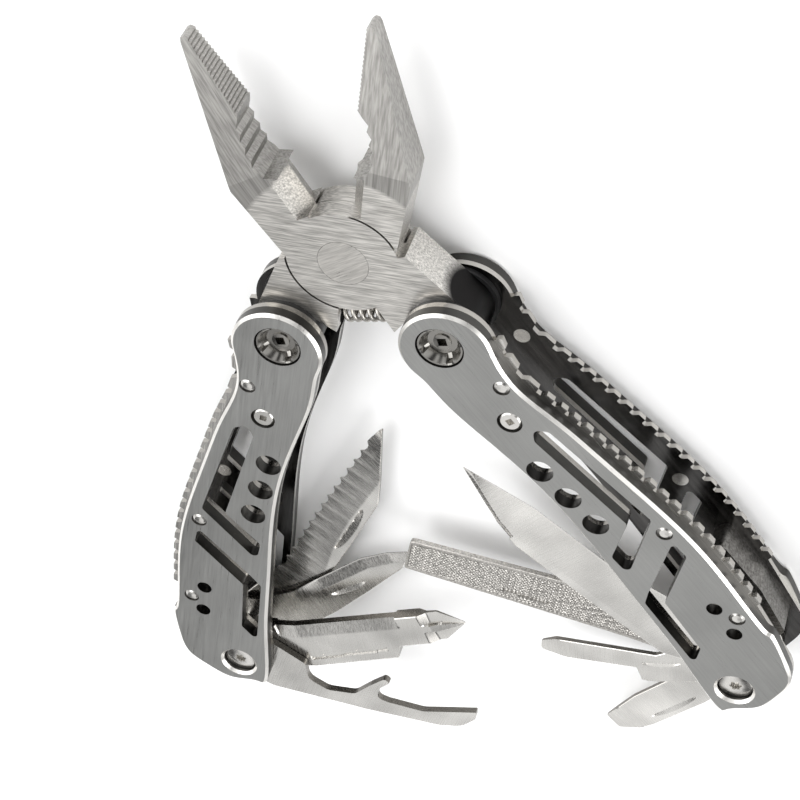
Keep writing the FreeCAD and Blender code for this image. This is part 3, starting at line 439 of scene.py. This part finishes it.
def ground_tool(tool, half, columns=49, step=0.22, material=None):
    """A tool ground from sheet: a grid over its outline, lifted to a half thickness.

    half(x, y, low, high, full) gives the share of the full half thickness at each point,
    where low and high are the outline's y at that station. Both faces are the same."""
    edges = outline_of(tool)
    first, last = edges[:, :, 0].min() + END_INSET, edges[:, :, 0].max() - END_INSET
    x = np.linspace(first, last, int((last - first) / step))
    low, high = widths(edges, x)
    share = np.linspace(0, 1, columns)
    share = share - CROWDING * np.sin(TURN * share) / TURN
    y = low[:, None] + share[None, :] * (high - low)[:, None]
    grid_x = np.repeat(x[:, None], columns, axis=1)
    box_low, box_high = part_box(tool)
    centre, full = (box_low[2] + box_high[2]) / 2, (box_high[2] - box_low[2]) / 2
    tall = full * np.clip(half(grid_x, y, low[:, None], high[:, None], full / MM), THINNEST, 1.0)
    rim = np.minimum.reduce([y - low[:, None], high[:, None] - y, grid_x - first + 0 * y,
                             last - grid_x + 0 * y])
    tall = np.minimum(tall, full - EDGE_BREAK * MM * np.clip(1 - rim / EDGE_BREAK_WIDE, 0, 1))
    px, py = TOOL_FRAMES[tool].to_row(grid_x, y)
    upper = np.stack([px, py, centre + tall], axis=-1).reshape(-1, 3)
    lower = np.stack([px, py, centre - tall], axis=-1).reshape(-1, 3)
    rows, count = len(x), len(x) * columns
    faces = [grid_faces(rows, columns), grid_faces(rows, columns)[:, ::-1] + count]
    index = np.arange(count).reshape(rows, columns)
    for line in (index[0], index[-1], index[:, 0], index[:, -1]):
        faces.append(np.stack([line[:-1], line[1:], line[1:] + count, line[:-1] + count], axis=1))
    piece = mesh_piece(f"{tool}_ground", np.concatenate([upper, lower]), np.concatenate(faces),
                       material or BLADE[tool], tool, creases=24)
    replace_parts(piece, tool)
    return piece


def line_y(x, *corners):
    """Height of a broken line through (x, y) corners."""
    return np.interp(x, [c[0] for c in corners], [c[1] for c in corners])


def nail_nick(x, y, start, end, depth=0.45, wide=1.0):
    """Crescent groove between two points: deepest in its middle, straight on one side."""
    (x0, y0), (x1, y1) = start, end
    long = math.hypot(x1 - x0, y1 - y0)
    u = ((x - x0) * (x1 - x0) + (y - y0) * (y1 - y0)) / long ** 2
    v = (-(x - x0) * (y1 - y0) + (y - y0) * (x1 - x0)) / long
    bow = wide * np.sqrt(np.clip(1 - (2 * u - 1) ** 2, 0, 1))
    inside = (v > 0) & (v < bow) & (u > 0) & (u < 1)
    return depth * np.where(inside, 1 - np.clip(v / (bow + 1e-6), 0, 1), 0)


def knife_grind(x, y, low, high, full):
    """Flat band along the spine, flat bevel down to the edge, ground swedge at the clip point."""
    band = line_y(x, (12, 9.0), (48.5, 6.8), (61, 1.2))
    start = np.clip((x - 8) / 6, 0, 1)
    bevel = np.clip((y - low) / np.maximum(band - low, 0.2), 0, 1)
    swedge = np.clip((high - y) / 1.1, 0.12, 1)
    return (1 - start) + start * bevel * np.where(x > 46, swedge, 1)


def saw_grind(x, y, low, high, full):
    """Bevel from a bowed line down to the scalloped edge, with a nail nick in the flat."""
    band = line_y(x, (14, 6.0), (18, 5.3), (30, 2.7), (38, 2.0), (52, 1.9), (64, -3.7))
    start = np.clip((x - 13) / 4, 0, 1)
    bevel = np.clip((y - low) / np.maximum(np.minimum(band, high) - low, 0.2), 0, 1) * 0.92 + 0.08
    nick = nail_nick(x, y, (29.5, 3.0), (42.5, 2.4), depth=0.6, wide=1.3)
    return (1 - start) + start * bevel - nick


def file_cut(x, y, low, high, full):
    """Two rows of teeth crossed at 45 degrees, with smooth margins and a nail slit."""
    one = np.abs(((x + y) / FILE_PITCH) % 1 - 0.5) * 2
    two = np.abs(((x - y) / FILE_PITCH) % 1 - 0.5) * 2
    margin = np.clip(np.minimum.reduce([y - low - 0.5, high - y - 0.5, x - 16, 62 - x]), 0, 0.4) / 0.4
    slit = np.where((x > 35.5) & (x < 44) & (np.abs(y - 3.2) < 0.4), 0.5, 0)
    return 1 - 0.32 * margin * np.maximum(one, two) ** 1.4 - slit


def phillips_grind(x, y, low, high, full):
    """Bar with sloped facets and a step, and a four-winged point."""
    centre = -1.0
    across = (y - centre) / np.maximum((high - low) / 2, 0.3)
    wing = np.where(np.abs(across) < 0.24, 1.0, 0.24 + 0.25 * (1 - np.abs(across)))
    to_point = np.clip((x - 38.5) / 2.0, 0, 1)
    taper = np.clip((48.2 - x) / 8, 0.1, 1)
    facet = np.where((x > 8) & (x < 34), np.clip(0.55 + (y - low) / 6, 0, 1), 1)
    groove = np.where((x > 12) & (x < 29) & (np.abs(y - line_y(x, (12, 5.0), (29, 3.6))) < 0.5), 0.3, 0)
    return (1 - to_point) * (facet - groove) + to_point * wing * taper


def can_grind(x, y, low, high, full):
    """Hooked cutter: ground from its middle to the inner edge, with a nail nick."""
    start = np.clip((x - 14) / 6, 0, 1)
    bevel = np.clip((y - low) / 2.4, 0.12, 1)
    return (1 - start) + start * bevel - nail_nick(x, y, (20, 1.4), (29, 1.9), depth=0.6, wide=1.2)


def slim_grind(x, y, low, high, full):
    """Slim blade, ground down to a narrow driver tip."""
    return np.clip(0.3 + 0.7 * (38.9 - x) / 5.2, 0.3, 1) - nail_nick(x, y, (13, 4.4), (20, 4.2), 0.5, 1.1)


def scraper_grind(x, y, low, high, full):
    """Broad driver: ground tip, rounded inner edge, and a long nail nick."""
    tip = np.clip(0.35 + 0.65 * (39.6 - x) / 5.1, 0.35, 1)
    return tip - nail_nick(x, y, (20, 5.0), (31.5, 3.9), 0.5, 1.2)


def lathe(name, centre, rings, material, body, steps=96):
    """A turned piece: each ring is (radius, height) in millimetres, as numbers or as functions
    of the angle. The first and last rings have no radius, so they close on the axis."""
    angle = np.arange(steps) * TURN / steps
    rows = []
    for radius, tall in rings:
        r = radius(angle) if callable(radius) else np.full(steps, float(radius))
        z = tall(angle) if callable(tall) else np.full(steps, float(tall))
        rows.append(np.stack([centre[0] + r * np.cos(angle) * MM, centre[1] + r * np.sin(angle) * MM,
                              z * MM], axis=1))
    points = np.concatenate(rows)
    quads = grid_faces(len(rows), steps, wrap=True)
    return mesh_piece(name, points, quads, material, body, creases=30)


def square_key(half):
    """Outline of a square key hole as a radius over the angle."""
    return lambda a: half / np.maximum(np.abs(np.cos(a)), np.abs(np.sin(a)))


def star_key(radius):
    """Six-lobed key hole as a radius over the angle."""
    return lambda a: radius * (1 + 0.16 * np.cos(6 * a))


def notched(tall, drop, count=4, wide=0.2, phase=0.35):
    """A height that falls by drop in a few notches round the rim."""
    def height(a):
        place = (a / TURN * count + phase) % 1
        return tall - drop * (np.abs(place - 0.5) < wide / 2)
    return height


def make_pivot_dishes():
    """Pivot screws: a polished dished cap with notches for a spanner and a square key hole."""
    for side in ("left", "right"):
        node = f"{side}_pivot_screw"
        low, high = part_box(node)
        centre, top, rim = middle(node), high[2] / MM, (high[0] - low[0]) / 2 / MM
        shank = 1.9
        rings = [(0, low[2] / MM), (shank, low[2] / MM), (shank, top - 2.6), (rim - 0.1, top - 2.6),
                 (rim, top - 2.5), (rim, top - 0.25), (rim - 0.25, top), (rim - 0.55, notched(top, 0.1)),
                 (0.86 * rim - 0.2, notched(top - 0.25, 0.9)), (0.66 * rim, notched(top - 1.25, 0.25)),
                 (0.62 * rim, top - 1.6), (0.32 * rim + 0.2, top - 1.6), (0.32 * rim + 0.2, top - 1.35),
                 (square_key(0.75), top - 1.3), (square_key(0.7), top - 3.0), (0, top - 3.0)]
        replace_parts(lathe(f"{side}_pivot_dish", centre, rings, SHADED_DISH, f"{side}_handle"),
                    node)


def make_bolts():
    """Tool bolts: a flat polished head with a broken edge and a six-lobed key hole."""
    for side in ("left", "right"):
        node = f"{side}_tool_bolt"
        low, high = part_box(node)
        centre, top, rim = middle(node), high[2] / MM, (high[0] - low[0]) / 2 / MM
        shank = 1.9
        rings = [(0, low[2] / MM), (shank, low[2] / MM), (shank, top - 1.2), (rim - 0.05, top - 1.2),
                 (rim, top - 1.1), (rim, top - 0.3), (rim - 0.1, top - 0.12), (rim - 0.35, top),
                 (star_key(0.98), top), (star_key(0.9), top - 0.15), (star_key(0.82), top - 1.0),
                 (0, top - 1.05)]
        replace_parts(lathe(f"{side}_bolt_head", centre, rings, SCREW, f"{side}_handle"),
                    node)


def make_spring():
    """Return spring: round wire wound in close turns between the jaws' tangs."""
    low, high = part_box("return_spring")
    centre = middle("return_spring")
    wire = 0.42 * MM
    radius = (high[2] - low[2]) / 2 - wire
    turns, along, around = 5.5, 240, 12
    t = np.linspace(0, 1, along)
    a = t * turns * TURN
    reach = (high[0] - low[0]) / 2 - wire
    path = np.stack([centre[0] + (2 * t - 1) * reach, centre[1] + radius * np.cos(a),
                     centre[2] + radius * np.sin(a)], axis=1)
    ahead = np.gradient(path, axis=0)
    ahead /= np.linalg.norm(ahead, axis=1)[:, None]
    out = np.stack([0 * a, np.cos(a), np.sin(a)], axis=1)
    third = np.cross(ahead, out)
    b = np.arange(around) * TURN / around
    tube = (path[:, None] + wire * (np.cos(b)[None, :, None] * out[:, None]
                                    + np.sin(b)[None, :, None] * third[:, None]))
    ends = [np.repeat(path[:1], around, axis=0), *tube, np.repeat(path[-1:], around, axis=0)]
    piece = mesh_piece("return_coil", np.concatenate(ends), grid_faces(along + 2, around, wrap=True),
                       SPRING, "front_jaw")
    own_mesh(piece)
    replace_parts(piece, "return_spring")


# ---------------------------------------------------------------- studio
def build_floor():
    """Pale floor that reads as white and keeps the soft shadow."""
    bpy.ops.mesh.primitive_plane_add(size=6, location=(0, 0, -0.0002))
    floor = bpy.context.object
    floor.name = "floor"
    material = bpy.data.materials.new("pale_floor")
    material.use_nodes = True
    shader = material.node_tree.nodes["Principled BSDF"]
    shader.inputs["Base Color"].default_value = grey(0.93)
    shader.inputs["Roughness"].default_value = 0.9
    floor.data.materials.append(material)


def build_world():
    """White surroundings; polished metal sees broad pale cards with grey between them."""
    world = bpy.data.worlds.new("studio")
    bpy.context.scene.world = world
    world.use_nodes = True
    tree = world.node_tree
    back = tree.nodes["Background"]
    direction = tree.nodes.new("ShaderNodeTexCoord").outputs["Generated"]
    cards = add(tree, "ShaderNodeTexWave", {"wave_type": "BANDS", "bands_direction": "X"},
                Vector=direction, Scale=0.55, Distortion=2.5, Detail=1.0, Detail_Scale=0.6).outputs[0]
    seen = ramp(tree, cards, [(0.2, grey(0.1)), (0.5, grey(0.7)), (0.8, grey(1.25))])
    path = tree.nodes.new("ShaderNodeLightPath")
    colour = add(tree, "ShaderNodeMix", {"data_type": "RGBA"}, Factor=path.outputs["Is Camera Ray"],
                 i6=seen, i7=grey(1.0)).outputs[2]
    tree.links.new(colour, back.inputs["Color"])
    back.inputs["Strength"].default_value = 1.0


def add_lamp(name, spot, size, watts):
    """A soft square lamp aimed at the object."""
    lamp = bpy.data.lights.new(name, "AREA")
    lamp.size, lamp.energy = size, watts
    obj = bpy.data.objects.new(name, lamp)
    obj.location = spot
    obj.rotation_euler = (Vector((0, 0, 0)) - Vector(spot)).to_track_quat("-Z", "Y").to_euler()
    bpy.context.scene.collection.objects.link(obj)


def build_camera():
    """Long lens high on the right, beyond the noses and looking back down at the handles."""
    right = Vector((0.9266, -0.2399, -0.2897))
    up = Vector((-0.0175, 0.7419, -0.6703))
    back = Vector((0.3757, 0.6262, 0.6832))
    pivot = middle("left_pivot_screw")
    spot = Vector((pivot[0] + 0.1548, pivot[1] + 0.2157, TOP + 0.2475))
    lens = bpy.data.cameras.new("camera")
    lens.lens, lens.sensor_width = 100.1, 36.0
    lens.clip_start = 0.01
    camera = bpy.data.objects.new("camera", lens)
    camera.matrix_world = Matrix((right, up, back)).transposed().to_4x4()
    camera.location = spot
    bpy.context.scene.collection.objects.link(camera)
    bpy.context.scene.camera = camera


dress_nodes()
for tool, grind in (("knife_blade", knife_grind), ("serrated_blade", saw_grind),
                    ("phillips_driver", phillips_grind), ("can_opener", can_grind),
                    ("slim_driver", slim_grind), ("scraper_driver", scraper_grind)):
    ground_tool(tool, grind)
ground_tool("double_cut_file", file_cut, columns=65, step=0.16, material=FILE)
make_pivot_dishes()
make_bolts()
make_spring()
build_floor()
build_world()
add_lamp("key", (-0.35, 0.25, 0.6), 0.8, 5.0)
add_lamp("fill", (0.5, -0.3, 0.5), 0.5, 3.0)
build_camera()
bpy.context.scene.view_settings.view_transform = "Standard"
